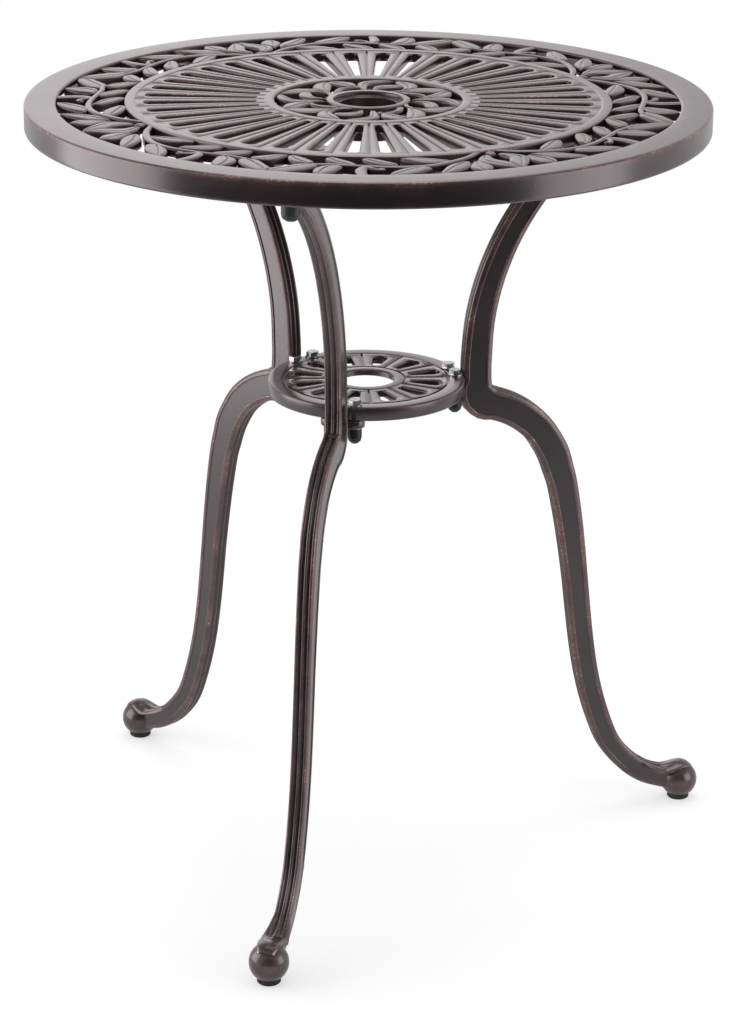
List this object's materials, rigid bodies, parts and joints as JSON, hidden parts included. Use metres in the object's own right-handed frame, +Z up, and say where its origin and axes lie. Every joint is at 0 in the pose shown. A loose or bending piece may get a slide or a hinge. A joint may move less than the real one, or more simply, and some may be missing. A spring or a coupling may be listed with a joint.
{
  "type": "umbrella table",
  "caption": "Round cast-metal garden table with a pierced scroll-leaf top, a centre hole for an umbrella, a small lower shelf and curved legs on ball feet.",
  "frame": {"origin": "on the floor on the umbrella pole's axis", "axes": "+Z up along the pole's axis, -Y towards the viewer of the picture, +X to the viewer's right"},
  "size_m": [0.6194, 0.6207, 0.7],
  "materials": {
    "bronze_castings": "cast aluminium with a satin antique-bronze powder coat, rubbed to copper along the edges",
    "bolts": "bright zinc-plated steel",
    "nuts": "zinc-plated steel",
    "bolt_caps": "moulded dark grey plastic",
    "nut_caps": "moulded black plastic",
    "foot_pads": "moulded black plastic"
  },
  "bodies": {
    "table": {"table_top": "bronze_castings", "lower_shelf": "bronze_castings", "leg_right": "bronze_castings", "top_bolt_right_inner": "bolts", "top_washer_right_inner": "bolts", "top_bolt_cap_right_inner": "bolt_caps", "top_bolt_right_outer": "bolts", "top_washer_right_outer": "bolts", "top_bolt_cap_right_outer": "bolt_caps", "shelf_bolt_right_1": "bolts", "shelf_washer_right_1": "bolts", "shelf_nut_right_1": "nuts", "shelf_nut_cap_right_1": "nut_caps", "shelf_bolt_right_2": "bolts", "shelf_washer_right_2": "bolts", "shelf_nut_right_2": "nuts", "shelf_nut_cap_right_2": "nut_caps", "leg_left": "bronze_castings", "top_bolt_left_inner": "bolts", "top_washer_left_inner": "bolts", "top_bolt_cap_left_inner": "bolt_caps", "top_bolt_left_outer": "bolts", "top_washer_left_outer": "bolts", "top_bolt_cap_left_outer": "bolt_caps", "shelf_bolt_left_1": "bolts", "shelf_washer_left_1": "bolts", "shelf_nut_left_1": "nuts", "shelf_nut_cap_left_1": "nut_caps", "shelf_bolt_left_2": "bolts", "shelf_washer_left_2": "bolts", "shelf_nut_left_2": "nuts", "shelf_nut_cap_left_2": "nut_caps", "leg_front": "bronze_castings", "top_bolt_front_inner": "bolts", "top_washer_front_inner": "bolts", "top_bolt_cap_front_inner": "bolt_caps", "top_bolt_front_outer": "bolts", "top_washer_front_outer": "bolts", "top_bolt_cap_front_outer": "bolt_caps", "shelf_bolt_front_1": "bolts", "shelf_washer_front_1": "bolts", "shelf_nut_front_1": "nuts", "shelf_nut_cap_front_1": "nut_caps", "shelf_bolt_front_2": "bolts", "shelf_washer_front_2": "bolts", "shelf_nut_front_2": "nuts", "shelf_nut_cap_front_2": "nut_caps"},
    "foot_right": {"foot_stud_right": "bolts", "foot_pad_right": "foot_pads"},
    "foot_left": {"foot_stud_left": "bolts", "foot_pad_left": "foot_pads"},
    "foot_front": {"foot_stud_front": "bolts", "foot_pad_front": "foot_pads"}
  },
  "joints": [
    {"name": "foot_right_screw", "type": "slide", "parent": "table", "child": "foot_right", "axis": [0, 0, -1], "range_m": [0, 0.008]},
    {"name": "foot_left_screw", "type": "slide", "parent": "table", "child": "foot_left", "axis": [0, 0, -1], "range_m": [0, 0.008]},
    {"name": "foot_front_screw", "type": "slide", "parent": "table", "child": "foot_front", "axis": [0, 0, -1], "range_m": [0, 0.008]}
  ]
}
